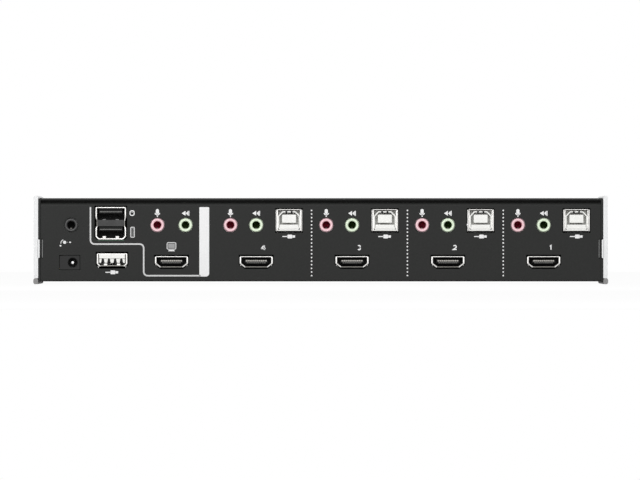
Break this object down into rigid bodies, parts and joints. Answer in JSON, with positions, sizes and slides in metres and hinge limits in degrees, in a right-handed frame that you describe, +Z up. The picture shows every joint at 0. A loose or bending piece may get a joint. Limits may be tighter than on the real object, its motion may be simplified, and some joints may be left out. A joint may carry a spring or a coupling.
{
  "type": "kvm switch",
  "caption": "Low, wide desktop KVM switch with rows of video, data and audio sockets on a dark steel rear panel, pale side cheeks and sprung front pushbuttons.",
  "frame": {"origin": "on the standing surface, under the middle of the part's bounding box", "axes": "+Z up, +X to the right as seen from the connector panel, the connector panel faces -Y and the bezel with the pushbuttons faces +Y"},
  "size_m": [0.27, 0.156, 0.0416],
  "materials": {
    "panel_powder": "fine-textured charcoal powder coat on folded steel",
    "cover_powder": "fine-textured black powder coat on folded steel",
    "cheek_plastic": "satin silver-white moulding",
    "foot_rubber": "grey soft strip",
    "bezel_plastic": "black moulding",
    "screw_steel": "zinc-plated steel",
    "standoff_brass": "turned brass",
    "board_green": "green solder-masked laminate",
    "chip_black": "black moulded packages",
    "switch_black": "black switch bodies",
    "guide_clear": "frosted clear light guide",
    "cap_grey": "satin grey key cap",
    "socket_metal": "nickel-plated pressed steel",
    "insert_black": "black contact carrier",
    "insert_white": "ivory contact carrier",
    "jack_pink": "pink moulding",
    "jack_green": "lime-green moulding",
    "jack_black": "black moulding",
    "pin_metal": "plated contact pin"
  },
  "bodies": {
    "case": {"chassis_tray": "panel_powder", "connector_panel": "panel_powder", "top_cover": "cover_powder", "left_cheek": "cheek_plastic", "right_cheek": "cheek_plastic", "front_bezel": "bezel_plastic", "rubber_feet": "foot_rubber", "case_screws": "screw_steel", "board_screws": "screw_steel", "board_spacers": "standoff_brass", "main_board": "board_green", "upper_board": "board_green", "front_board": "board_green", "board_components": "chip_black", "tact_switches": "switch_black", "light_guides": "guide_clear", "dc_jack_body": "jack_black", "dc_jack_pin": "pin_metal", "upgrade_jack": "jack_black", "front_mic_jack": "jack_pink", "front_speaker_jack": "jack_green", "console_mic_jack": "jack_pink", "console_speaker_jack": "jack_green", "console_data_shell": "socket_metal", "console_data_insert": "insert_black", "hub_data_shell": "socket_metal", "hub_data_insert": "insert_white", "front_data_shell": "socket_metal", "front_data_insert": "insert_white", "console_video_shell": "socket_metal", "console_video_insert": "insert_black", "port_4_mic_jack": "jack_pink", "port_4_speaker_jack": "jack_green", "port_4_data_shell": "socket_metal", "port_4_data_insert": "insert_white", "port_4_video_shell": "socket_metal", "port_4_video_insert": "insert_black", "port_3_mic_jack": "jack_pink", "port_3_speaker_jack": "jack_green", "port_3_data_shell": "socket_metal", "port_3_data_insert": "insert_white", "port_3_video_shell": "socket_metal", "port_3_video_insert": "insert_black", "port_2_mic_jack": "jack_pink", "port_2_speaker_jack": "jack_green", "port_2_data_shell": "socket_metal", "port_2_data_insert": "insert_white", "port_2_video_shell": "socket_metal", "port_2_video_insert": "insert_black", "port_1_mic_jack": "jack_pink", "port_1_speaker_jack": "jack_green", "port_1_data_shell": "socket_metal", "port_1_data_insert": "insert_white", "port_1_video_shell": "socket_metal", "port_1_video_insert": "insert_black"},
    "port_button_1_body": {"port_button_1": "cap_grey"},
    "port_button_2_body": {"port_button_2": "cap_grey"},
    "port_button_3_body": {"port_button_3": "cap_grey"},
    "port_button_4_body": {"port_button_4": "cap_grey"},
    "mode_button_body": {"mode_button": "cap_grey"}
  },
  "joints": [
    {"name": "port_button_1_press", "type": "slide", "parent": "case", "child": "port_button_1_body", "axis": [0, -1, 0], "range_m": [0, 0.0005], "stiffness_N_per_m": 1500, "springref_m": -0.0003},
    {"name": "port_button_2_press", "type": "slide", "parent": "case", "child": "port_button_2_body", "axis": [0, -1, 0], "range_m": [0, 0.0005], "stiffness_N_per_m": 1500, "springref_m": -0.0003},
    {"name": "port_button_3_press", "type": "slide", "parent": "case", "child": "port_button_3_body", "axis": [0, -1, 0], "range_m": [0, 0.0005], "stiffness_N_per_m": 1500, "springref_m": -0.0003},
    {"name": "port_button_4_press", "type": "slide", "parent": "case", "child": "port_button_4_body", "axis": [0, -1, 0], "range_m": [0, 0.0005], "stiffness_N_per_m": 1500, "springref_m": -0.0003},
    {"name": "mode_button_press", "type": "slide", "parent": "case", "child": "mode_button_body", "axis": [0, -1, 0], "range_m": [0, 0.0005], "stiffness_N_per_m": 1500, "springref_m": -0.0003}
  ]
}
